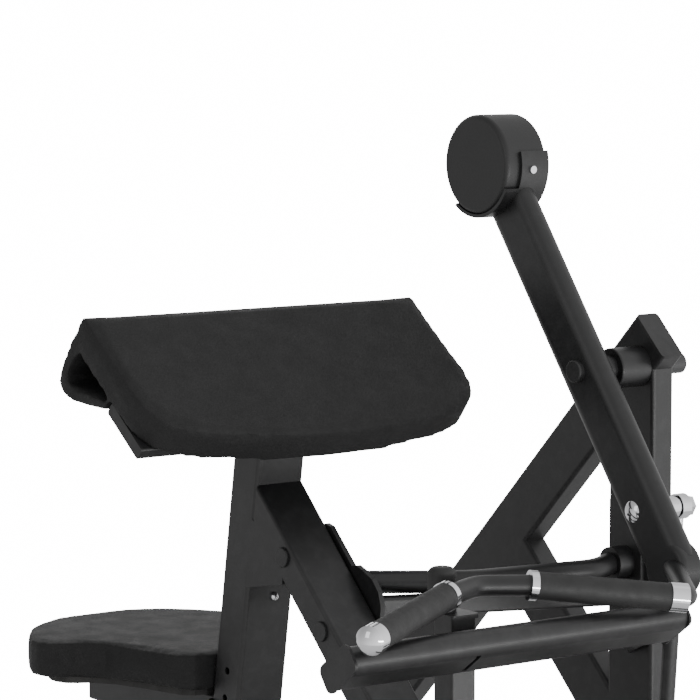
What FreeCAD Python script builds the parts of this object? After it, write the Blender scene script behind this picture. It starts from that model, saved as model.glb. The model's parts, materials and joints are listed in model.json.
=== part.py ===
import FreeCAD, Part
import math
import os

os.makedirs("parts", exist_ok=True)
V = FreeCAD.Vector

# ---- driving dimensions, mm ----
APEX_Z = 1010.0          # height of the arm pad's top edge above the floor
MID_X, MID_F = 220.0, 70.0   # middle of the machine's footprint, seen from the pad's top edge
PAD_W, PAD_T, PAD_DEG = 568.0, 50.0, 38.0
POST_W, POST_D, WALL = 80.0, 62.0, 3.0
POST_F, HALF_D = 39.0, 31.5   # post's centre line at z -205, and its half depth along f
RAIL_TOP, RAIL_BOT, FLOOR = -930.0, -990.0, -1010.0
COL_X0, COL_X1, COL_F0, COL_F1 = 475.0, 515.0, 218.0, 312.0
PIV_F, PIV_Z, AXLE_R = 280.0, -94.0, 15.0
LEV_X0, LEV_X1, LEV_W, LEV_DEG = 361.0, 399.0, 82.0, 54.3
LEV_UP, LEV_DOWN = 271.0, 318.0
CW_R, CW_S, CW_X0, CW_X1 = 72.0, 349.5, 340.0, 415.0
PIN_F, PIN_Z, PIN_R = 397.0, -280.0, 10.0
LINK_DF, LINK_DZ, ROD_X, ROD_R = -44.0, -560.0, 450.0, 11.0
HORN_R, HORN_X0, HORN_X1, HORN_ARM, HORN_DEG = 25.0, 545.0, 745.0, 300.0, 20.0
GRIP_R, BAR_R = 18.5, 14.0
RUN = 0.06               # running clearance, radial


# x to the right, f forward, z up, all from the middle of the pad's top edge
def P(x, f, z):
    return V(x - MID_X, MID_F - f, z + APEX_Z)


def D(x, f, z):
    return V(x, -f, z)


def poly(points):
    return Part.Face(Part.makePolygon(list(points) + [points[0]]))


def sag(x0, x1, fz):
    """Prism along x from a polygon of (f, z)."""
    return poly([P(x0, f, z) for f, z in fz]).extrude(V(x1 - x0, 0, 0))


def cyl(x0, x1, f, z, r):
    return Part.makeCylinder(r, x1 - x0, P(x0, f, z), V(1, 0, 0))


def rod(a, b, r):
    a, b = P(*a), P(*b)
    return Part.makeCylinder(r, (b - a).Length, a, b - a)


def box(x0, x1, f0, f1, z0, z1, r=0.0, axis=None):
    s = Part.makeBox(x1 - x0, f1 - f0, z1 - z0, P(x0, f1, z0))
    if r:
        e = [k for k in s.Edges if axis is None or abs((k.Vertexes[1].Point - k.Vertexes[0].Point).normalize().dot(axis)) > 0.9]
        s = s.makeFillet(r, e)
    return s


def rrect(c, u, v, a, b, r):
    """Rounded rectangle wire, sides a along u and b along v, about c."""
    r = min(r, a / 2 - 0.01, b / 2 - 0.01)
    k = math.sqrt(0.5)
    pts, mids = [], []
    for su, sv in ((1, 1), (-1, 1), (-1, -1), (1, -1)):
        cc = c + u * (su * (a / 2 - r)) + v * (sv * (b / 2 - r))
        pu, pv = cc + u * (su * r), cc + v * (sv * r)
        pts.append((pu, pv) if su * sv > 0 else (pv, pu))
        mids.append(cc + u * (su * r * k) + v * (sv * r * k))
    edges = []
    for i in range(4):
        edges.append(Part.Arc(pts[i][0], mids[i], pts[i][1]).toShape())
        edges.append(Part.makeLine(pts[i][1], pts[(i + 1) % 4][0]))
    return Part.Wire(edges)


def tube(a, b, wx, d, r=6.0, wall=WALL, side=V(1, 0, 0), solid=False):
    """Rectangular tube from a to b, wx wide along side and d deep across it."""
    a, b = P(*a), P(*b)
    n = b - a
    length = n.Length
    n = n * (1.0 / length)
    v = n.cross(side)
    v.normalize()
    out = Part.Face(rrect(a, side, v, wx, d, r)).extrude(n * length)
    if solid:
        return out
    hole = Part.Face(rrect(a - n, side, v, wx - 2 * wall, d - 2 * wall, max(r - wall, 1.0))).extrude(n * (length + 2))
    return out.cut(hole)


def full(a, b, wx, d, r=6.0, side=V(1, 0, 0)):
    return tube(a, b, wx, d, r, side=side, solid=True)


def one(shape):
    s = sorted(shape.Solids, key=lambda k: -k.Volume)
    return s[0]


def join(shapes):
    s = shapes[0]
    for k in shapes[1:]:
        s = s.fuse(k)
    return s.removeSplitter()


def bent(points, radii, r):
    """Round bar of radius r through points, with a bend of the given radius at each inner one."""
    pts = [p if isinstance(p, FreeCAD.Vector) else P(*p) for p in points]
    edges, start = [], pts[0]
    for i in range(1, len(pts) - 1):
        u = (pts[i - 1] - pts[i]).normalize()
        w = (pts[i + 1] - pts[i]).normalize()
        half_angle = u.getAngle(w) / 2
        t = radii[i - 1] / math.tan(half_angle)
        a, b = pts[i] + u * t, pts[i] + w * t
        m = (u + w).normalize()
        mid = pts[i] + m * (radii[i - 1] / math.sin(half_angle) - radii[i - 1])
        edges += [Part.makeLine(start, a), Part.Arc(a, mid, b).toShape()]
        start = b
    edges.append(Part.makeLine(start, pts[-1]))
    circle = Part.Wire([Part.makeCircle(r, pts[0], (pts[1] - pts[0]).normalize())])
    return Part.Wire(edges).makePipeShell([circle], True, False)


def save(name, shape):
    if isinstance(shape, (list, tuple)):
        shape = Part.makeCompound(list(shape))
    shape.exportStep("parts/%s.step" % name)


X, Y, Z = V(1, 0, 0), V(0, 1, 0), V(0, 0, 1)

# ---- base ----
rear = full((-300, -590, -960), (535, -590, -960), 80, 60, 6, side=Y)
front = full((-300, 730, -960), (535, 730, -960), 80, 60, 6, side=Y)
save("base_rear_crossbar", tube((-300, -590, -960), (535, -590, -960), 80, 60, 6, side=Y))
save("base_front_crossbar", tube((-300, 730, -960), (535, 730, -960), 80, 60, 6, side=Y))
save("base_main_rail", tube((0, -550, -960), (0, 690, -960), 80, 60, 6))
save("base_side_rail", tube((495, -550, -960), (495, 690, -960), 80, 60, 6))
caps = []
for f in (-590, 730):
    for x in (-300, 535):
        s = 1 if x > 0 else -1
        plate = full((x, f, -960), (x + 5 * s, f, -960), 80, 60, 6, side=Y)
        plug = full((x - 20 * s, f, -960), (x, f, -960), 73.4, 53.4, 3, side=Y)
        caps.append(one(plate.fuse(plug)))
save("base_end_caps", caps)
save("base_feet", [Part.makeCylinder(28, 20, P(x, f, FLOOR), Z) for f in (-590, 730) for x in (-260, 117, 495)])

# ---- leaning post, front strut and gusset ----
lean = 0.153
A_TOP, A_FOOT = (0, POST_F + lean * 105, -100), (0, POST_F - lean * 725, RAIL_TOP)
post_full = full(A_TOP, (0, A_FOOT[1] - lean * 40, RAIL_TOP - 40), POST_W, POST_D, 6)
post = tube(A_TOP, (0, A_FOOT[1] - lean * 40, RAIL_TOP - 40), POST_W, POST_D, 6)
below = Part.makeBox(3000, 3000, 400, P(-1200, 1500, RAIL_TOP - 400))
slab_t = math.tan(math.radians(PAD_DEG))
cs, sn = math.cos(math.radians(PAD_DEG)), math.sin(math.radians(PAD_DEG))


def slab(s, n):
    """Point on the pad: s down the front slope, n below its face."""
    return (s * cs - n * sn, -s * sn - n * cs)


PLATE_N0, PLATE_N1 = PAD_T - 12, PAD_T
above_post = sag(-400, 400, [slab(-60, PAD_T + 18), slab(420, PAD_T + 18), slab(420, -200), slab(-60, -200)]).fuse(sag(-400, 400, [(-300, -130), (300, -130), (300, 300), (-300, 300)]))
BRK_S, BRK_N, BRK_W, BRK_T = 168.0, PAD_T + 9, 92.0, 18.0
brk_full = full((-276,) + slab(BRK_S, BRK_N), (200,) + slab(BRK_S, BRK_N), BRK_W, BRK_T, 4, side=D(0, cs, -sn))
strut_full = full((0, -16.5, -200), (0, 753.5, -970), POST_W, 48, 6)
strut = tube((0, -16.5, -200), (0, 753.5, -970), POST_W, 48, 6)
front_of_post = lambda z: POST_F + HALF_D + lean * (z + 205)
behind_post = sag(-300, 300, [(front_of_post(-65), -65), (front_of_post(-1000), -1000), (-900, -1000), (-900, -65)])
CT_L, CT_R = (-256, 546, -406), (300, 546, -406)
ct_side = D(0, math.cos(math.radians(36)), math.sin(math.radians(36)))
cross_full = full(CT_L, CT_R, 73, 40, 19.9, side=ct_side)
post = one(post.cut(below).cut(above_post))
# row of adjustment holes and the bolt near the gusset
holes = [Part.makeCylinder(5.5, 60, P(-60, POST_F + lean * (z + 205), z), X) for z in (-520, -560, -600, -640, -680, -720)]
for h in holes:
    post = post.cut(h)
save("seat_post", one(post))
strut = one(strut.cut(below).cut(behind_post))
SP = [(X0, f, z) for X0, f, z in ((-40, 126, -340), (-40, 214, -431))]
plugs = []
save("front_strut", [s for s in tube((0, -16.5, -200), (0, 753.5, -970), POST_W, 48, 6).cut(below).cut(behind_post).Solids if s.Volume > 2000])
for x, f, z in SP:
    disc = Part.makeCylinder(14, 4, P(x - 4, f, z), X)
    disc = disc.makeFillet(1.5, [e for e in disc.Edges if abs(e.Vertexes[0].Point.x - P(x - 4, 0, 0).x) < 0.1 and e.Curve.TypeId == "Part::GeomCircle"])
    plugs.append(disc)
save("strut_plugs", plugs)
# gusset box between post and strut
fr = front_of_post
gus = sag(-40, 40, [(fr(-300) - 5, -290), (fr(-394) - 5, -394), (124, -378), (126, -360)]).cut(post_full).cut(strut_full)
gus = one(gus)
save("post_gusset", gus)
bolt_f = front_of_post(-408)
bolt = Part.makeSphere(6.5, P(7, bolt_f + 0.5, -411))
post_bolt = one(bolt.cut(post_full))
# plate and pivot disc on the strut's right side
spl = sag(40, 48, [(108, -303), (116, -301), (128, -304), (178, -353), (188, -351), (202, -356), (224, -366), (238, -382), (244, -402), (241, -425), (226, -444), (200, -450), (172, -436), (140, -395)])
save("strut_plate", spl)
dk = Part.makeCylinder(24, 10, P(48, 182, -420), X)
dk = dk.makeFillet(3, [e for e in dk.Edges if e.Curve.TypeId == "Part::GeomCircle" and e.Vertexes[0].Point.x > P(57, 0, 0).x])
save("plate_disc", dk)
bh = Part.makeCylinder(8, 7, P(58, 182, -420), X)
hx = Part.makeCylinder(3.6, 5, P(61, 182, -420), X)
save("frame_bolts", [post_bolt, bh.cut(hx)])

# ---- cross tube ----
column_full = box(COL_X0, COL_X1, COL_F0, COL_F1, RAIL_TOP, -90, 6, Z)
diag_full = full((495, 300.0, -52.0), (495, -608.0, -960.0), 40, 80, 6)
c36, s36 = math.cos(math.radians(36)), math.sin(math.radians(36))
slot = sag(-60, -53, [(546 + t * c36 - n * s36, -406 + t * s36 + n * c36) for t, n in ((-16, -24), (23.5, -24), (23.5, -13), (-16, -13))])
cross = tube(CT_L, CT_R, 73, 40, 19.9, side=ct_side).cut(slot)
save("cross_tube", one(cross))
cbr = full((270, 540, -406), (477, 250, -496), 26, 40, 4, side=V(0.8141, 0.5806, 0)).cut(full(CT_L, (305, 546, -406), 73.4, 40.4, 10.5, side=ct_side)).cut(box(475, 600, 100, 500, -600, -300))
rail = full((48, 223, -405), (467, 262, -425), 28, 28, 4, side=V(0.0927, 0.9957, 0)).cut(box(0, 48, 100, 400, -500, -300)).cut(box(467, 600, 100, 400, -500, -300))
save("cross_brace", [one(cbr), one(rail)])
caps2 = []
for x, sg in ((CT_L[0], -1), (CT_R[0], 1)):
    caps2.append(one(full((x, 546, -406), (x + 4 * sg, 546, -406), 73, 40, 11, side=ct_side).fuse(full((x - 18 * sg, 546, -406), (x, 546, -406), 66.4, 33.4, 16.6, side=ct_side))))

# ---- side column, diagonal, brace ----
col = column_full.cut(box(COL_X0 + WALL, COL_X1 - WALL, COL_F0 + WALL, COL_F1 - WALL, RAIL_TOP - 5, 0, 3, Z)).cut(diag_full)
axle_hole = cyl(340, 600, PIV_F, PIV_Z, AXLE_R)
C2_F, C2_Z = PIV_F + LINK_DF, PIV_Z + LINK_DZ
shaft_hole = cyl(400, 600, C2_F, C2_Z, 26.0)
bearing_room = cyl(470, 522, C2_F, C2_Z, 26.5).fuse(cyl(470, 475, C2_F, C2_Z, 34.5)).fuse(cyl(515, 522, C2_F, C2_Z, 34.5))
col = one(col.cut(axle_hole).cut(shaft_hole))
save("side_column", col)
diag = tube((495, 300.0, -52.0), (495, -608.0, -960.0), 40, 80, 6).cut(below).cut(axle_hole)
diag = diag.cut(box(300, 700, -900, -629, -1100, 0))
save("diagonal_tube", one(diag))
dcap = one(full((495, 303.5, -48.5), (495, 300.0, -52.0), 40, 80, 6).fuse(full((495, 300.0, -52.0), (495, 290.0, -62.0), 33.4, 73.4, 3)).cut(cyl(340, 600, PIV_F, PIV_Z, AXLE_R + 4)))
save("diagonal_cap", dcap)
brace = tube((495, -60, -342), (495, 260, -662), 40, 80, 6).cut(diag_full).cut(column_full).cut(bearing_room)
brace_f = [s for s in brace.Solids if s.CenterOfMass.z < P(0, 0, -380).z]
save("column_brace", sorted(brace_f, key=lambda s: -s.Volume)[0])
cpl = box(467, 475, 230, 298, -470, -284, 8, X)

# ---- rear bent tube ----
rt = [P(48, 180, -376), P(190, 254, -380), P(400, 278, -381), P(467, 252, -375)]
u0, u1 = (rt[0] - rt[1]).normalize(), (rt[3] - rt[2]).normalize()
rear_bar = bent([rt[0] + u0 * 12, rt[1], rt[2], rt[3] + u1 * 12], [150, 90], 16)
tube_r = rear_bar.cut(box(-60, 48, 0, 500, -500, -100)).cut(box(467, 700, 0, 500, -500, -100)).cut(strut_full)
save("rear_tube", one(tube_r))
save("column_plate", [cpl, one(cyl(440, 466.9, 262, -378, 24).cut(rear_bar))])

# ---- stop post and bumper ----
sp = tube((-30, 493, -372), (-30, 493, -800), 40, 40, 4, side=X).cut(sag(-100, 100, [(-200, 17), (1200, -1383), (-200, -1383)]))
foot = sag(-56, 40, [(440.3, -622.8), (536.3, -718.8), (542, -713.1), (446, -617.1)])
sp = sp.cut(foot).cut(cross_full).cut(sag(-100, 100, [(440, -623), (536, -719), (500, -900), (300, -900), (300, -500)]))
save("stop_post", one(sp))
stop_foot = foot.cut(full((-30, 493, -372), (-30, 493, -640), 40, 40, 4, side=X))
save("stop_plates", [one(stop_foot), box(-52, -6, 446, 515, -372, -366, 4, Z)])
bm = Part.makeCylinder(19, 58, P(-34, 471, -366), Z)
bm = bm.makeFillet(10, [e for e in bm.Edges if e.Curve.TypeId == "Part::GeomCircle" and e.Vertexes[0].Point.z > P(0, 0, -310).z])
save("stop_bumper", bm)

# ---- arm pad ----
half = PAD_W / 2
rim = [(half, 150), (half - 0.5, 165), (281, 180), (275, 196), (266, 210), (252, 223), (221, 235), (192, 242), (132, 251), (100, 256), (40, 259), (0, 260)]
right = rim + [(-x, s) for x, s in reversed(rim[:-1])]
fpts = [(half, 2)] + right + [(-half, 2)]
down = D(0, -sn, -cs)
front_slab = poly([P(x, *slab(s, 0)) for x, s in fpts]).extrude(down * PAD_T)
front_slab = front_slab.cut(sag(-400, 400, [slab(40, 0), (-300, 300), (-300, -300), slab(40, PAD_T), slab(40, 20)]))
head = sag(-half, half, [slab(40, 0), (6, -4), (0, -1), (-6, -4), (-42, -48), (-61, -80), (-65, -96), (-56, -111), (-38, -119), (0, -123), (53, -125),
                         (60, -113), (14, -107), (-24, -103), (-41, -95), (-43, -84), (-26, -62), (-10, -52), slab(40, PAD_T)])
pface = poly([P(x, *slab(s, PLATE_N0)) for x, s in [(262, 46), (262, 150), (240, 190), (190, 212), (90, 232), (0, 236), (-90, 232), (-190, 212), (-240, 190), (-262, 150), (-262, 46)]])
plate = pface.extrude(down * 12.0)
pad = one(join([front_slab, head]).cut(plate))
save("arm_pad", pad)
save("pad_board", one(plate))
brk = tube((-276,) + slab(BRK_S, BRK_N), (200,) + slab(BRK_S, BRK_N), BRK_W, BRK_T, 4, side=D(0, cs, -sn))
save("pad_bracket", one(brk))
bcap = [full((-280,) + slab(BRK_S, BRK_N), (-276,) + slab(BRK_S, BRK_N), BRK_W, BRK_T, 4, side=D(0, cs, -sn)).fuse(full((-276,) + slab(BRK_S, BRK_N), (-264,) + slab(BRK_S, BRK_N), BRK_W - 6.6, BRK_T - 6.6, 1, side=D(0, cs, -sn))),
        full((200,) + slab(BRK_S, BRK_N), (204,) + slab(BRK_S, BRK_N), BRK_W, BRK_T, 4, side=D(0, cs, -sn)).fuse(full((188,) + slab(BRK_S, BRK_N), (200,) + slab(BRK_S, BRK_N), BRK_W - 6.6, BRK_T - 6.6, 1, side=D(0, cs, -sn)))]
save("tube_caps", [one(k) for k in bcap] + caps2)

# ---- pivot axle and housing ----
axle = cyl(363.5, 556, PIV_F, PIV_Z, AXLE_R)
axle = axle.makeFillet(2, [e for e in axle.Edges if e.Curve.TypeId == "Part::GeomCircle" and e.Vertexes[0].Point.x > P(555, 0, 0).x])
save("pivot_axle", axle)
hs = cyl(421, 474.9, PIV_F, PIV_Z, 29).cut(cyl(400, 500, PIV_F, PIV_Z, AXLE_R))
hs = hs.makeFillet(3, [e for e in hs.Edges if e.Curve.TypeId == "Part::GeomCircle" and e.Vertexes[0].Point.x < P(422, 0, 0).x and e.Curve.Radius > 20])
save("pivot_housing", hs)
save("pivot_spacer", cyl(402, 420.9, PIV_F, PIV_Z, 19).cut(cyl(400, 500, PIV_F, PIV_Z, AXLE_R)))

# ---- curl lever ----
dl = (math.cos(math.radians(LEV_DEG)), -math.sin(math.radians(LEV_DEG)))


def lev(s, n=0.0):
    """Point s down the lever from the pivot, n across towards the front."""
    return (PIV_F + dl[0] * s - dl[1] * n, PIV_Z + dl[1] * s + dl[0] * n)


LXM = (LEV_X0 + LEV_X1) / 2
cwf, cwz = lev(-CW_S)
lt_out = full((LXM,) + lev(-LEV_UP - 30, -2), (LXM,) + lev(LEV_DOWN, -2), 38, LEV_W, 18.9)
lt_in = full((LXM,) + lev(-LEV_UP - 40, -2), (LXM,) + lev(LEV_DOWN + 5, -2), 32, LEV_W - 6, 15.9)
endr = Part.makeCylinder(LEV_W / 2 - 0.5, 38, P(LEV_X0, *lev(LEV_DOWN, -2)), X)
endr = endr.makeFillet(8, [e for e in endr.Edges if e.Curve.TypeId == "Part::GeomCircle"])
hub_out = cyl(LEV_X0 + 0.5, 401, PIV_F, PIV_Z, 23)
lt = lt_out.cut(lt_in).fuse(hub_out)
lt = lt.fuse(endr.cut(lt_in)).fuse(cyl(LEV_X0 + 3, 398, PIN_F, PIN_Z, 15))
lt = lt.cut(cyl(362.4, 420, PIV_F, PIV_Z, AXLE_R + RUN)).cut(cyl(cwf and 300, 450, cwf, cwz, CW_R + 5))
lt = lt.cut(cyl(340, 420, PIN_F, PIN_Z, PIN_R))
save("lever_tube", one(lt.removeSplitter()))
hc = cyl(352, 361.3, PIV_F, PIV_Z, 16)
hc = hc.makeFillet(2.5, [e for e in hc.Edges if e.Curve.TypeId == "Part::GeomCircle" and e.Vertexes[0].Point.x < P(353, 0, 0).x])
save("lever_hub_cap", one(hc.cut(lt)))
cw = cyl(CW_X0, CW_X1, cwf, cwz, CW_R)
cw = cw.makeFillet(7, [e for e in cw.Edges if e.Curve.TypeId == "Part::GeomCircle"])
save("counterweight", cw)


def sector(x0, x1, r0, r1, a0, a1):
    n = 24
    o = [(cwf + r1 * math.cos(math.radians(a0 + (a1 - a0) * i / n)), cwz + r1 * math.sin(math.radians(a0 + (a1 - a0) * i / n))) for i in range(n + 1)]
    return sag(x0, x1, o + [(cwf + 20 * math.cos(math.radians((a0 + a1) / 2)), cwz + 20 * math.sin(math.radians((a0 + a1) / 2)))]).cut(cyl(x0 - 5, x1 + 5, cwf, cwz, r0))


strap = join([sector(341, 414, CW_R, CW_R + 5, -128, -25), sector(364, 414, CW_R, CW_R + 5, -27, 16)])
save("cradle_strap", one(strap))
sx, sz_ = cwf + (CW_R + 5) * math.cos(math.radians(-4)), cwz + (CW_R + 5) * math.sin(math.radians(-4))
save("cradle_screw", rod((383, sx - 0.5, sz_), (383, sx + 3.5, sz_ - 0.3), 5.5).cut(strap))
lp = cyl(359.5, 459.5, PIN_F, PIN_Z, PIN_R).fuse(Part.makeSphere(24, P(379.5, PIN_F, PIN_Z)).common(box(350, 360.8, 340, 460, -340, -220)))
save("link_pin", one(lp.removeSplitter()))
save("pin_collar", cyl(399.2, 440.5, PIN_F, PIN_Z, 15.5).cut(cyl(300, 500, PIN_F, PIN_Z, PIN_R)))
nut = Part.Face(Part.makePolygon([P(459.6, PIN_F + 15 * math.cos(math.radians(60 * i)), PIN_Z + 15 * math.sin(math.radians(60 * i))) for i in range(7)])).extrude(V(9, 0, 0))
dome = Part.makeSphere(11, P(468.0, PIN_F, PIN_Z)).common(box(468.6, 473, 300, 500, -400, -200))
save("pin_nut", one(nut.fuse(cyl(468.6, 470, PIN_F, PIN_Z, 10.5)).removeSplitter()))

# handle: bend in the middle, grips out to the sides and down
HB, HI, HO = (0, 500, -333), (72, 527.5, -336), (252, 607.8, -359.7)
mir = lambda p: (-p[0], p[1], p[2])
gd = V(HO[0] - HI[0], HO[1] - HI[1], HO[2] - HI[2])
gl = gd.Length
gd = gd * (1 / gl)
along = lambda p, t, s=1: (s * (p[0] + gd.x * t), p[1] + gd.y * t, p[2] + gd.z * t)
stub_end = (380,) + lev(312, -2)
OC = along(HO, 18)
bar = bent([along(HO, 4, -1), mir(HI), HB, HI, OC, stub_end], [60, 50, 60, 26], BAR_R)
save("handle_bar", one(bar.cut(lt_out).cut(endr)))
bar_room = bent([along(HO, 4, -1), mir(HI), HB, HI, OC, stub_end], [60, 50, 60, 26], BAR_R + 0.2)
grips, inner, ends = [], [], []
for s in (1, -1):
    g = rod(along(HI, 5, s), along(HI, gl - 10, s), GRIP_R).cut(rod(along(HI, -10, s), along(HI, gl + 30, s), BAR_R))
    grips.append(one(g))
    inner.append(one(rod(along(HI, -5, s), along(HI, 5, s), GRIP_R + 1.5).cut(rod(along(HI, -30, s), along(HI, 30, s), BAR_R)).cut(bar_room)))
save("handle_grips", grips)
save("grip_collars", inner)
oc = rod(along(HO, -10), along(HO, 14), GRIP_R + 1.5).cut(rod(along(HI, 10), along(HO, 18), BAR_R)).cut(bar_room)
save("grip_outer_collar", one(oc))
dc = rod(along(HO, -10, -1), along(HO, 6, -1), GRIP_R + 1.0)
ball = Part.makeSphere(24, P(*along(HO, -6.5, -1))).common(rod(along(HO, 6, -1), along(HO, 30, -1), GRIP_R + 1.0))
dc = dc.fuse(ball).cut(rod(along(HI, 10, -1), along(HO, 4, -1), BAR_R))
save("grip_dome_cap", one(dc.removeSplitter()))

# ---- link rod ----
LF, LZ = PIN_F + LINK_DF, PIN_Z + LINK_DZ
ln = math.hypot(LINK_DF, LINK_DZ)
uf, uz = LINK_DF / ln, LINK_DZ / ln
at = lambda t: (ROD_X, PIN_F + uf * t, PIN_Z + uz * t)
eye_u = cyl(442, 458, PIN_F, PIN_Z, 18).fuse(rod(at(14), at(62), 7)).cut(cyl(430, 470, PIN_F, PIN_Z, PIN_R + RUN))
eye_l = cyl(442, 458, LF, LZ, 18).fuse(rod(at(ln - 62), at(ln - 14), 7)).cut(cyl(430, 470, LF, LZ, PIN_R + 0.5))
save("rod_end_upper", one(eye_u.removeSplitter()))
save("rod_end_lower", one(eye_l.removeSplitter()))
lr = rod(at(45), at(ln - 45), ROD_R).cut(rod(at(10), at(62), 7)).cut(rod(at(ln - 62), at(ln - 10), 7))
save("link_rod", one(lr))

# ---- weight crank ----
lp2 = cyl(437, 463, LF, LZ, PIN_R)
hf, hz = C2_F + HORN_ARM * math.cos(math.radians(HORN_DEG)), C2_Z - HORN_ARM * math.sin(math.radians(HORN_DEG))
save("crank_shaft", cyl(425, 549, C2_F, C2_Z, 18))
inner_arm = full((431, C2_F, C2_Z), (431, LF, LZ), 12, 50, 2).fuse(cyl(425, 437, C2_F, C2_Z, 32)).fuse(cyl(425, 437, LF, LZ, 25)).cut(cyl(400, 600, C2_F, C2_Z, 18))
save("crank_arm", one(inner_arm.removeSplitter()))
save("crank_pin", one(lp2.fuse(cyl(459.5, 464, LF, LZ, 15)).removeSplitter()))
outer = full((533, C2_F, C2_Z), (533, hf, hz), 20, 60, 4).fuse(cyl(523, 543, C2_F, C2_Z, 38)).fuse(cyl(523, 543, hf, hz, 34)).cut(cyl(400, 600, C2_F, C2_Z, 18))
save("weight_arm", one(outer.removeSplitter()))
fl = cyl(543, 549, hf, hz, 55)
save("horn_flange", fl)
hn = cyl(549, HORN_X1, hf, hz, HORN_R)
hn = hn.makeChamfer(3, [e for e in hn.Edges if e.Curve.TypeId == "Part::GeomCircle" and e.Vertexes[0].Point.x > P(740, 0, 0).x])
save("weight_horn", hn)
bush = cyl(440, 475, C2_F, C2_Z, 34).fuse(cyl(475, 515, C2_F, C2_Z, 26)).fuse(cyl(515, 521, C2_F, C2_Z, 34)).cut(cyl(400, 600, C2_F, C2_Z, 18 + RUN))
save("crank_bearing", one(bush.removeSplitter()))

# ---- seat ----
SEAT_TOP, SEAT_T = -501.0, 52.0
seat_half = [(55, -431), (97, -414), (134, -386), (158, -354), (178, -322), (189, -298), (191, -278), (184, -258), (168, -246), (147, -236), (122, -206), (105, -155), (92, -105), (82, -66), (66, -51), (44, -46)]
seat_pts = [(-x, f) for x, f in seat_half] + list(reversed(seat_half))
seat = poly([P(x, f, SEAT_TOP) for x, f in seat_pts]).extrude(V(0, 0, -SEAT_T))
save("seat_pad", seat)
sb = poly([P(x * 0.84, -220 + (f + 220) * 0.9, SEAT_TOP - SEAT_T) for x, f in seat_pts]).extrude(V(0, 0, -10))
save("seat_board", sb)
fz = lambda z: POST_F + lean * (z + 205)
CLR = 0.4
su, sl = -572.0, -714.0
a_u, a_l = (0, fz(su), su), (0, fz(sl), sl)
sleeve = full(a_u, a_l, POST_W + 2 * CLR + 10, POST_D + 2 * CLR + 10, 8)
core = full((0, fz(su + 40), su + 40), (0, fz(sl - 40), sl - 40), POST_W + 2 * CLR, POST_D + 2 * CLR, 5)
save("seat_carriage", one(sleeve.cut(core)))
arm = tube((0, fz(-593) - 30, -593), (0, -383, -593), 60, 60, 5).cut(sleeve)
save("seat_arm", [one(arm), full((0, -387, -593), (0, -383, -593), 60, 60, 5)])
kz = -664.0
save("seat_pin_barrel", cyl(-62, -45.9, fz(kz), kz, 11).cut(sleeve))
kb = cyl(-100, -74, fz(kz), kz, 16)
kb = kb.makeFillet(5, [e for e in kb.Edges if e.Curve.TypeId == "Part::GeomCircle"])
save("seat_pin_knob", one(kb.fuse(cyl(-74.5, -62, fz(kz), kz, 7)).removeSplitter()))
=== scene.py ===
import json
import math

import bmesh
import bpy
from mathutils import Matrix, Vector


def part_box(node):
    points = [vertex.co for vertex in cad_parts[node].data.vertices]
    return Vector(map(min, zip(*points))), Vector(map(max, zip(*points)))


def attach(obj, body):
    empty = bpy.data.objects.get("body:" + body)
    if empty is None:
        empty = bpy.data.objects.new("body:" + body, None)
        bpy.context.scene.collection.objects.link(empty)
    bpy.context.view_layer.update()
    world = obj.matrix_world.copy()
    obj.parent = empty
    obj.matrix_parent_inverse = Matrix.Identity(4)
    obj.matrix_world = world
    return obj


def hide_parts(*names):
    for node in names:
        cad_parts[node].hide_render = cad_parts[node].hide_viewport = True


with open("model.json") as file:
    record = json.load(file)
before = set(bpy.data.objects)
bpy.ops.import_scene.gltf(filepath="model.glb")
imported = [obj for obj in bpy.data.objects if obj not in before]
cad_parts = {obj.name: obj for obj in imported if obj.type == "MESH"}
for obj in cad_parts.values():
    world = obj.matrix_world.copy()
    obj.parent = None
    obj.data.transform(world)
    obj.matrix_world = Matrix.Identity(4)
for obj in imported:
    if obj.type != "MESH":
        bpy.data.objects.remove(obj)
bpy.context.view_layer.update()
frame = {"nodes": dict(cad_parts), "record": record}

record = frame["record"]
SLOT = {s["node"]: s["material_slot"] for s in record["subparts"]}


# ---------------------------------------------------------------- materials
def new_mat(name):
    m = bpy.data.materials.new(name)
    m.use_nodes = True
    nt = m.node_tree
    nt.nodes.clear()
    out = nt.nodes.new("ShaderNodeOutputMaterial")
    b = nt.nodes.new("ShaderNodeBsdfPrincipled")
    nt.links.new(b.outputs[0], out.inputs[0])
    co = nt.nodes.new("ShaderNodeTexCoord")
    return m, nt, b, co.outputs["Object"]


def noise(nt, co, scale, detail=3.0, rough=0.55, w=0.0):
    n = nt.nodes.new("ShaderNodeTexNoise")
    n.inputs["Scale"].default_value = scale
    n.inputs["Detail"].default_value = detail
    n.inputs["Roughness"].default_value = rough
    if w:
        mp = nt.nodes.new("ShaderNodeMapping")
        mp.inputs["Location"].default_value = (w, w * 0.7, -w)
        nt.links.new(co, mp.inputs[0])
        co = mp.outputs[0]
    nt.links.new(co, n.inputs["Vector"])
    return n.outputs["Fac"]


def ramp(nt, fac, stops):
    r = nt.nodes.new("ShaderNodeValToRGB")
    e = r.color_ramp.elements
    while len(e) < len(stops):
        e.new(0.5)
    for k, (p, c) in zip(e, stops):
        k.position = p
        k.color = (*c, 1.0) if len(c) == 3 else c
    nt.links.new(fac, r.inputs[0])
    return r.outputs[0]


def span(nt, fac, lo, hi, a=0.3, b=0.7):
    m = nt.nodes.new("ShaderNodeMapRange")
    m.inputs["From Min"].default_value = a
    m.inputs["From Max"].default_value = b
    m.inputs["To Min"].default_value = lo
    m.inputs["To Max"].default_value = hi
    nt.links.new(fac, m.inputs["Value"])
    return m.outputs[0]


def bump(nt, height, strength, dist, after=None):
    b = nt.nodes.new("ShaderNodeBump")
    b.inputs["Strength"].default_value = strength
    b.inputs["Distance"].default_value = dist
    nt.links.new(height, b.inputs["Height"])
    if after is not None:
        nt.links.new(after, b.inputs["Normal"])
    return b.outputs[0]


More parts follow.
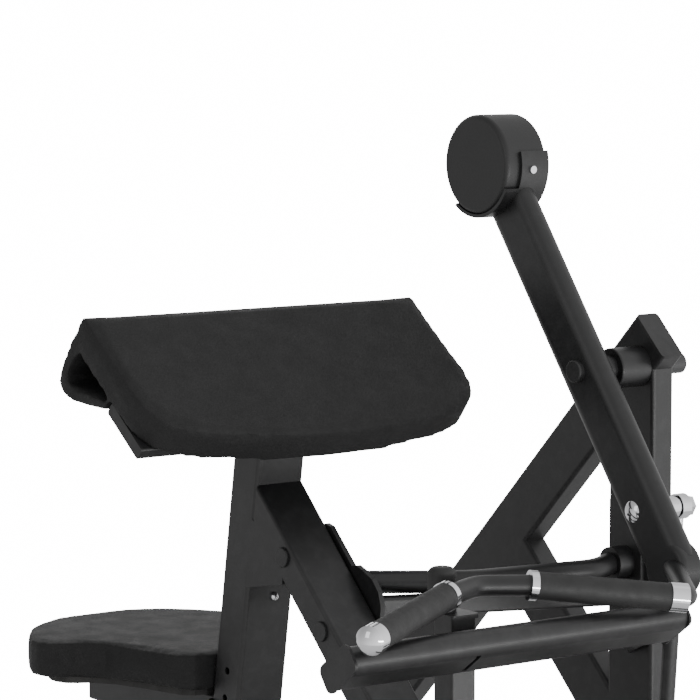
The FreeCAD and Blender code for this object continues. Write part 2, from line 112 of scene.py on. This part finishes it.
def painted_edge_highlight(nt, co, base, edge_highlight_colour, amount):
    """Painted highlight: lighter colour on convex edges, broken up by noise."""
    g = nt.nodes.new("ShaderNodeNewGeometry")
    p = span(nt, g.outputs["Pointiness"], 0.0, 1.0, 0.52, 0.62)
    n = span(nt, noise(nt, co, 60.0, 4.0), 0.0, amount, 0.45, 0.65)
    mul = nt.nodes.new("ShaderNodeMath")
    mul.operation = "MULTIPLY"
    nt.links.new(p, mul.inputs[0])
    nt.links.new(n, mul.inputs[1])
    mix = nt.nodes.new("ShaderNodeMix")
    mix.data_type = "RGBA"
    nt.links.new(mul.outputs[0], mix.inputs["Factor"])
    nt.links.new(base, mix.inputs["A"])
    # lighter colour painted on convex edges as a highlight
    mix.inputs["B"].default_value = (*edge_highlight_colour, 1)
    return mix.outputs["Result"]


def paint(name, dark, light, r_lo, r_hi, peel=1.0, coat=0.0):
    m, nt, b, co = new_mat(name)
    tone = ramp(nt, noise(nt, co, 7.0, 4.0), [(0.3, dark), (0.7, light)])
    # base tone with a painted highlight on convex edges
    nt.links.new(painted_edge_highlight(nt, co, tone, (0.03, 0.03, 0.031), 0.25), b.inputs["Base Color"])
    nt.links.new(span(nt, noise(nt, co, 22.0, 5.0, w=3.1), r_lo, r_hi), b.inputs["Roughness"])
    fine = bump(nt, noise(nt, co, 900.0, 2.0), 0.10 * peel, 0.0004)
    nt.links.new(bump(nt, noise(nt, co, 260.0, 2.0, w=1.7), 0.08 * peel, 0.0008, fine), b.inputs["Normal"])
    b.inputs["Coat Weight"].default_value = coat
    b.inputs["Coat Roughness"].default_value = 0.3
    return m


def leather(name, dark, light, r_lo, r_hi, scale, depth):
    m, nt, b, co = new_mat(name)
    warp = nt.nodes.new("ShaderNodeTexNoise")
    warp.inputs["Scale"].default_value = 90.0
    nt.links.new(co, warp.inputs["Vector"])
    mixv = nt.nodes.new("ShaderNodeMix")
    mixv.data_type = "RGBA"
    mixv.blend_type = "LINEAR_LIGHT"
    mixv.inputs["Factor"].default_value = 0.004
    nt.links.new(co, mixv.inputs["A"])
    nt.links.new(warp.outputs["Color"], mixv.inputs["B"])
    v = nt.nodes.new("ShaderNodeTexVoronoi")
    v.feature = "DISTANCE_TO_EDGE"
    v.inputs["Scale"].default_value = scale
    nt.links.new(mixv.outputs["Result"], v.inputs["Vector"])
    pebble = span(nt, v.outputs["Distance"], 0.0, 1.0, 0.02, 0.32)
    v2 = nt.nodes.new("ShaderNodeTexVoronoi")
    v2.feature = "DISTANCE_TO_EDGE"
    v2.inputs["Scale"].default_value = scale * 0.47
    nt.links.new(mixv.outputs["Result"], v2.inputs["Vector"])
    crease = span(nt, v2.outputs["Distance"], 0.0, 1.0, 0.0, 0.12)
    tone = ramp(nt, noise(nt, co, 9.0, 5.0), [(0.32, dark), (0.68, light)])
    mul = nt.nodes.new("ShaderNodeMix")
    mul.data_type = "RGBA"
    mul.blend_type = "MULTIPLY"
    mul.inputs["Factor"].default_value = 0.55
    nt.links.new(tone, mul.inputs["A"])
    nt.links.new(ramp(nt, pebble, [(0.0, (0.35, 0.35, 0.35)), (0.6, (1, 1, 1))]), mul.inputs["B"])
    nt.links.new(mul.outputs["Result"], b.inputs["Base Color"])
    r1 = span(nt, noise(nt, co, 30.0, 4.0, w=5.0), r_lo, r_hi)
    add = nt.nodes.new("ShaderNodeMath")
    add.operation = "ADD"
    nt.links.new(r1, add.inputs[0])
    nt.links.new(span(nt, pebble, 0.14, 0.0, 0.0, 1.0), add.inputs[1])
    nt.links.new(add.outputs[0], b.inputs["Roughness"])
    n1 = bump(nt, pebble, 0.45, depth)
    n2 = bump(nt, crease, 0.25, depth * 1.5, n1)
    nt.links.new(bump(nt, noise(nt, co, 16.0, 3.0, w=2.0), 0.16, 0.004, n2), b.inputs["Normal"])
    b.inputs["Specular IOR Level"].default_value = 0.36
    return m


def rubber(name, dark, light, r_lo, r_hi, scale=420.0):
    m, nt, b, co = new_mat(name)
    nt.links.new(ramp(nt, noise(nt, co, 40.0, 4.0), [(0.3, dark), (0.7, light)]), b.inputs["Base Color"])
    nt.links.new(span(nt, noise(nt, co, 70.0, 4.0, w=2.0), r_lo, r_hi), b.inputs["Roughness"])
    nt.links.new(bump(nt, noise(nt, co, scale, 3.0), 0.25, 0.0005), b.inputs["Normal"])
    return m


def chrome(name, tint=(0.80, 0.80, 0.82), r_lo=0.06, r_hi=0.16):
    m, nt, b, co = new_mat(name)
    nt.links.new(ramp(nt, noise(nt, co, 35.0, 4.0), [(0.3, tuple(k * 0.9 for k in tint)), (0.7, tint)]), b.inputs["Base Color"])
    b.inputs["Metallic"].default_value = 1.0
    nt.links.new(span(nt, noise(nt, co, 120.0, 5.0, w=1.0), r_lo, r_hi), b.inputs["Roughness"])
    nt.links.new(bump(nt, noise(nt, co, 500.0, 2.0), 0.03, 0.0003), b.inputs["Normal"])
    return m


MATS = {
    "frame_paint": paint("satin_black_powder_coat", (0.0080, 0.0080, 0.0083), (0.0092, 0.0092, 0.0095), 0.37, 0.43),
    "weight_paint": paint("satin_black_weight", (0.0080, 0.0080, 0.0083), (0.0092, 0.0092, 0.0095), 0.42, 0.48, 1.3),
    "pad_leather": leather("black_grained_leather", (0.0070, 0.0070, 0.0072), (0.0082, 0.0082, 0.0084), 0.50, 0.62, 620.0, 0.0007),
    "rubber": rubber("black_rubber", (0.009, 0.009, 0.009), (0.014, 0.014, 0.014), 0.50, 0.66),
    "chrome": chrome("polished_chrome"),
    "plastic_cap": rubber("black_moulded_plastic", (0.010, 0.010, 0.0103), (0.015, 0.015, 0.0153), 0.42, 0.55, 700.0),
    "board": rubber("black_backing_board", (0.012, 0.0115, 0.011), (0.022, 0.021, 0.020), 0.65, 0.8, 200.0),
    "steel": paint("dark_steel", (0.02, 0.02, 0.021), (0.035, 0.035, 0.036), 0.3, 0.42),
}
for name, o in frame["nodes"].items():
    o.data.materials.clear()
    o.data.materials.append(MATS[SLOT[name]])


def smooth_by_angle(o, deg=32.0):
    for p in o.data.polygons:
        p.use_smooth = True
    o.data.set_sharp_from_angle(angle=math.radians(deg))


def put(name, mesh, mat, body):
    o = bpy.data.objects.new(name, mesh)
    bpy.context.scene.collection.objects.link(o)
    o.data.materials.clear()
    o.data.materials.append(MATS[mat])
    return o


def apply_mods(o):
    dg = bpy.context.evaluated_depsgraph_get()
    me = bpy.data.meshes.new_from_object(o.evaluated_get(dg))
    o.modifiers.clear()
    old = o.data
    o.data = me
    bpy.data.meshes.remove(old)


# ---------------------------------------------------------------- cushions
def cushion(node, name, body, voxel, shrink, pressure, cap, round_iter, tension=25.0):
    src = frame["nodes"][node]
    me = src.data.copy()
    o = put(name, me, "pad_leather", body)
    bm = bmesh.new()
    bm.from_mesh(me)
    bmesh.ops.remove_doubles(bm, verts=bm.verts, dist=1e-5)
    bmesh.ops.recalc_face_normals(bm, faces=bm.faces)
    bm.to_mesh(me)
    bm.free()
    r = o.modifiers.new("remesh", "REMESH")
    r.mode = "VOXEL"
    r.voxel_size = voxel
    apply_mods(o)
    s = o.modifiers.new("round", "SMOOTH")
    s.factor = 0.5
    s.iterations = round_iter
    apply_mods(o)
    me = o.data
    rest = [v.co.copy() for v in me.vertices]
    normals = [v.normal.copy() for v in me.vertices]
    for v, n in zip(me.vertices, normals):
        v.co = v.co - n * shrink
    me.update()
    start = [v.co.copy() for v in me.vertices]
    c = o.modifiers.new("cloth", "CLOTH")
    st = c.settings
    st.quality = 5
    st.mass = 0.3
    st.use_pressure = True
    st.uniform_pressure_force = pressure
    st.tension_stiffness = tension
    st.compression_stiffness = tension
    st.shear_stiffness = 8
    st.bending_stiffness = 1.2
    st.effector_weights.gravity = 0.0
    c.collision_settings.use_collision = False
    c.point_cache.frame_start = 1
    c.point_cache.frame_end = 20
    for f in range(1, 21):
        bpy.context.scene.frame_set(f)
    apply_mods(o)
    bpy.context.scene.frame_set(1)
    me = o.data
    for v, s0 in zip(me.vertices, start):
        d = v.co - s0
        if d.length > cap:
            v.co = s0 + d * (cap / d.length)
    me.update()
    sm = o.modifiers.new("even", "SMOOTH")
    sm.factor = 0.5
    sm.iterations = 2
    apply_mods(o)
    return o


def keep_inside(o, node, slack):
    lo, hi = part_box(node)
    for v in o.data.vertices:
        for k in range(3):
            v.co[k] = min(max(v.co[k], lo[k] - slack), hi[k] + slack)
    o.data.update()


arm = cushion("arm_pad", "arm_cushion", "frame", 0.0042, 0.0010, 1.0, 0.0022, 3)
seat = cushion("seat_pad", "seat_cushion", "seat", 0.0042, 0.0012, 1.4, 0.0030, 3)
for o, node, body in ((arm, "arm_pad", "frame"), (seat, "seat_pad", "seat")):
    keep_inside(o, node, 0.002)
    sub = o.modifiers.new("sub", "SUBSURF")
    sub.levels = 1
    sub.render_levels = 1
    for p in o.data.polygons:
        p.use_smooth = True
    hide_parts(node)
    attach(o, body)

for name, o in frame["nodes"].items():
    if name not in ("arm_pad", "seat_pad"):
        mod = o.modifiers.new("soft_edges", "BEVEL")
        mod.width = 0.0009
        mod.segments = 2
        mod.limit_method = "ANGLE"
        mod.angle_limit = math.radians(50)
        mod.harden_normals = False

# ---------------------------------------------------------------- stage
def disc_floor(radius):
    bm = bmesh.new()
    bmesh.ops.create_circle(bm, cap_ends=True, segments=128, radius=radius)
    me = bpy.data.meshes.new("floor")
    bm.to_mesh(me)
    bm.free()
    o = bpy.data.objects.new("floor", me)
    bpy.context.scene.collection.objects.link(o)
    m, nt, b, co = new_mat("pale_floor")
    nt.links.new(ramp(nt, noise(nt, co, 3.0, 4.0), [(0.3, (0.80, 0.80, 0.80)), (0.7, (0.84, 0.84, 0.84))]), b.inputs["Base Color"])
    nt.links.new(span(nt, noise(nt, co, 12.0, 4.0, w=1.0), 0.6, 0.75), b.inputs["Roughness"])
    me.materials.append(m)
    return o


floor = disc_floor(1.62)
floor.location = (0.0, 0.0, -0.0005)

world = bpy.data.worlds.new("studio")
bpy.context.scene.world = world
world.use_nodes = True
nt = world.node_tree
nt.nodes.clear()
out = nt.nodes.new("ShaderNodeOutputWorld")
bg_seen = nt.nodes.new("ShaderNodeBackground")
bg_seen.inputs[0].default_value = (1, 1, 1, 1)
bg_seen.inputs[1].default_value = 16.0
bg_lit = nt.nodes.new("ShaderNodeBackground")
bg_lit.inputs[0].default_value = (1, 1, 1, 1)
wc = nt.nodes.new("ShaderNodeTexCoord")
toward = nt.nodes.new("ShaderNodeVectorMath")
toward.operation = "DOT_PRODUCT"
toward.inputs[1].default_value = (0.45, -0.65, -0.61)
nt.links.new(wc.outputs["Generated"], toward.inputs[0])
level = nt.nodes.new("ShaderNodeMapRange")
level.inputs["From Min"].default_value = -1.0
level.inputs["From Max"].default_value = 1.0
level.inputs["To Min"].default_value = 0.48
level.inputs["To Max"].default_value = 1.6
nt.links.new(toward.outputs["Value"], level.inputs["Value"])
nt.links.new(level.outputs[0], bg_lit.inputs[1])
lp = nt.nodes.new("ShaderNodeLightPath")
mx = nt.nodes.new("ShaderNodeMixShader")
nt.links.new(lp.outputs["Is Camera Ray"], mx.inputs[0])
nt.links.new(bg_lit.outputs[0], mx.inputs[1])
nt.links.new(bg_seen.outputs[0], mx.inputs[2])
nt.links.new(mx.outputs[0], out.inputs[0])


def area(name, loc, target, size, size_y, power):
    l = bpy.data.lights.new(name, "AREA")
    l.shape = "RECTANGLE"
    l.size, l.size_y = size, size_y
    l.energy = power
    o = bpy.data.objects.new(name, l)
    bpy.context.scene.collection.objects.link(o)
    o.location = loc
    o.rotation_euler = (Vector(target) - Vector(loc)).to_track_quat("-Z", "Y").to_euler()
    return o


C = (0.0, 0.0, 0.85)
area("top", (0.2, -0.3, 3.4), C, 2.6, 2.6, 4)
area("front_right", (2.6, -3.4, 1.2), C, 2.2, 2.4, 3)
area("low_front", (0.3, -3.0, 0.14), (0.0, 0, 0.75), 3.2, 0.25, 36)
area("left", (-3.8, -0.6, 2.2), C, 1.6, 2.2, 10)
area("back", (1.2, 3.4, 2.2), C, 2.4, 2.0, 16)

# ---------------------------------------------------------------- camera
cam = bpy.data.cameras.new("camera")
cam.sensor_width = 36.0
cam.lens = 3446.0 / 700.0 * 36.0
cam.clip_end = 60.0
co = bpy.data.objects.new("camera", cam)
bpy.context.scene.collection.objects.link(co)
right = Vector((0.79864, -0.60182, 0.0))
fwd = Vector((0.59882, 0.79464, -0.09962)).normalized()
up = right.cross(fwd).normalized()
m = Matrix((right, up, -fwd)).transposed().to_4x4()
m.translation = Vector((-3.018, -3.870, 1.429))
co.matrix_world = m
bpy.context.scene.camera = co
